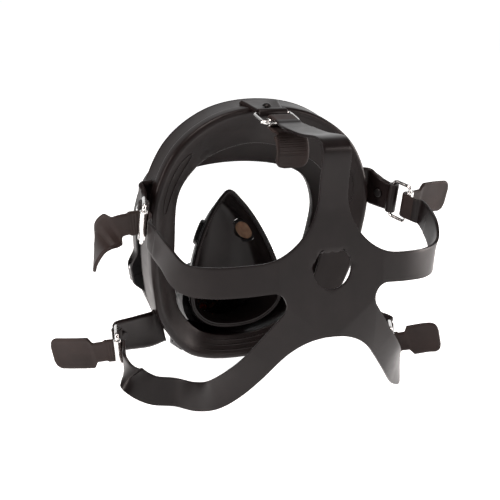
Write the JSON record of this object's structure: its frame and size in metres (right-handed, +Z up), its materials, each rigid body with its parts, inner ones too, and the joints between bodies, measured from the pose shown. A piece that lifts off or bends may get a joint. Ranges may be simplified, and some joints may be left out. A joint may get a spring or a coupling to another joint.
{
  "type": "full face respirator",
  "caption": "Full face respirator with panoramic visor, nose cup, front threaded connector, exhalation valve and buckled rubber head harness.",
  "frame": {"origin": "on the floor under the middle of the bounding box, with the exhalation cover, the lower left arm and the lower right strap fold resting on it", "axes": "+Z up, -Y the way the wearer looks, so the connector faces -Y and the harness hub is at +Y; +X is the wearer's left"},
  "size_m": [0.3296, 0.264, 0.2278],
  "materials": {
    "face_rubber": "satin",
    "harness_rubber": "matt",
    "black_plastic": "satin",
    "clear_visor": "clear gloss",
    "tan_silicone": "translucent satin",
    "bright_steel": "bright"
  },
  "bodies": {
    "mask": {"check_valve_seat_left": "black_plastic", "check_valve_seat_right": "black_plastic", "connector_clamp_ring": "black_plastic", "connector_gasket": "face_rubber", "connector_housing": "black_plastic", "exhalation_cover": "black_plastic", "exhalation_valve_seat": "black_plastic", "exhalation_valve_spring": "bright_steel", "face_blank": "face_rubber", "frame_nut_left": "bright_steel", "frame_nut_right": "bright_steel", "frame_screw_left": "bright_steel", "frame_screw_right": "bright_steel", "head_harness": "harness_rubber", "inhalation_valve_grid": "black_plastic", "inhalation_valve_seat": "black_plastic", "lug_stud_lower_left": "bright_steel", "lug_stud_lower_right": "bright_steel", "lug_stud_temple_left": "bright_steel", "lug_stud_temple_right": "bright_steel", "lug_stud_top": "bright_steel", "nose_cup": "face_rubber", "threaded_connector": "black_plastic", "visor": "clear_visor", "visor_frame_lower": "black_plastic", "visor_frame_upper": "black_plastic"},
    "buckle_top": {"buckle_frame_top": "bright_steel", "strap_tail_top": "harness_rubber"},
    "roller_top": {"buckle_roller_top": "bright_steel"},
    "buckle_temple_left": {"buckle_frame_temple_left": "bright_steel", "strap_tail_temple_left": "harness_rubber"},
    "roller_temple_left": {"buckle_roller_temple_left": "bright_steel"},
    "buckle_temple_right": {"buckle_frame_temple_right": "bright_steel", "strap_tail_temple_right": "harness_rubber"},
    "roller_temple_right": {"buckle_roller_temple_right": "bright_steel"},
    "buckle_lower_left": {"buckle_frame_lower_left": "bright_steel", "strap_tail_lower_left": "harness_rubber"},
    "roller_lower_left": {"buckle_roller_lower_left": "bright_steel"},
    "buckle_lower_right": {"buckle_frame_lower_right": "bright_steel", "strap_tail_lower_right": "harness_rubber"},
    "roller_lower_right": {"buckle_roller_lower_right": "bright_steel"},
    "check_flap_left": {"check_valve_disc_left": "tan_silicone"},
    "check_flap_right": {"check_valve_disc_right": "tan_silicone"},
    "inhalation_flap": {"inhalation_valve_disc": "tan_silicone"},
    "exhalation_flap": {"exhalation_valve_disc": "tan_silicone"}
  },
  "joints": [
    {"name": "buckle_swing_top", "type": "hinge", "parent": "mask", "child": "buckle_top", "pos_m": [0, 0.02779, 0.21812], "axis": [1, 0, 0], "range_deg": [-12, 12]},
    {"name": "roller_spin_top", "type": "hinge", "parent": "buckle_top", "child": "roller_top", "pos_m": [0, 0.044, 0.213], "axis": [1, 0, 0], "continuous": true},
    {"name": "buckle_swing_temple_left", "type": "hinge", "parent": "mask", "child": "buckle_temple_left", "pos_m": [0.10537, 0.02649, 0.14609], "axis": [-0.0018, -0.2544, -0.9671], "range_deg": [-12, 12]},
    {"name": "roller_spin_temple_left", "type": "hinge", "parent": "buckle_temple_left", "child": "roller_temple_left", "pos_m": [0.111, 0.042, 0.142], "axis": [-0.0018, -0.2544, -0.9671], "continuous": true},
    {"name": "buckle_swing_temple_right", "type": "hinge", "parent": "mask", "child": "buckle_temple_right", "pos_m": [-0.10937, 0.02649, 0.14609], "axis": [-0.0018, 0.2544, 0.9671], "range_deg": [-12, 12]},
    {"name": "roller_spin_temple_right", "type": "hinge", "parent": "buckle_temple_right", "child": "roller_temple_right", "pos_m": [-0.115, 0.042, 0.142], "axis": [-0.0018, 0.2544, 0.9671], "continuous": true},
    {"name": "buckle_swing_lower_left", "type": "hinge", "parent": "mask", "child": "buckle_lower_left", "pos_m": [0.1159, -0.00465, 0.04325], "axis": [-0.1652, -0.2081, -0.9641], "range_deg": [-12, 12]},
    {"name": "roller_spin_lower_left", "type": "hinge", "parent": "buckle_lower_left", "child": "roller_lower_left", "pos_m": [0.121, 0.011, 0.039], "axis": [-0.1652, -0.2081, -0.9641], "continuous": true},
    {"name": "buckle_swing_lower_right", "type": "hinge", "parent": "mask", "child": "buckle_lower_right", "pos_m": [-0.1261, -0.00104, 0.02155], "axis": [0.1133, 0.1772, 0.9776], "range_deg": [-12, 12]},
    {"name": "roller_spin_lower_right", "type": "hinge", "parent": "buckle_lower_right", "child": "roller_lower_right", "pos_m": [-0.119, 0.014, 0.018], "axis": [0.1133, 0.1772, 0.9776], "continuous": true},
    {"name": "check_valve_lift_left", "type": "slide", "parent": "mask", "child": "check_flap_left", "axis": [-0.7992, 0.4992, -0.3348], "range_m": [0, 0.0012], "stiffness_N_per_m": 15, "springref_m": -0.0005},
    {"name": "check_valve_lift_right", "type": "slide", "parent": "mask", "child": "check_flap_right", "axis": [0.7992, 0.4992, -0.3348], "range_m": [0, 0.0012], "stiffness_N_per_m": 15, "springref_m": -0.0005},
    {"name": "inhalation_valve_lift", "type": "slide", "parent": "mask", "child": "inhalation_flap", "axis": [0, 1, 0], "range_m": [0, 0.0035], "stiffness_N_per_m": 15, "springref_m": -0.0005},
    {"name": "exhalation_valve_lift", "type": "slide", "parent": "mask", "child": "exhalation_flap", "axis": [0, 0, -1], "range_m": [0, 0.003], "stiffness_N_per_m": 20, "springref_m": -0.001, "deforming": ["exhalation_valve_spring"]}
  ]
}
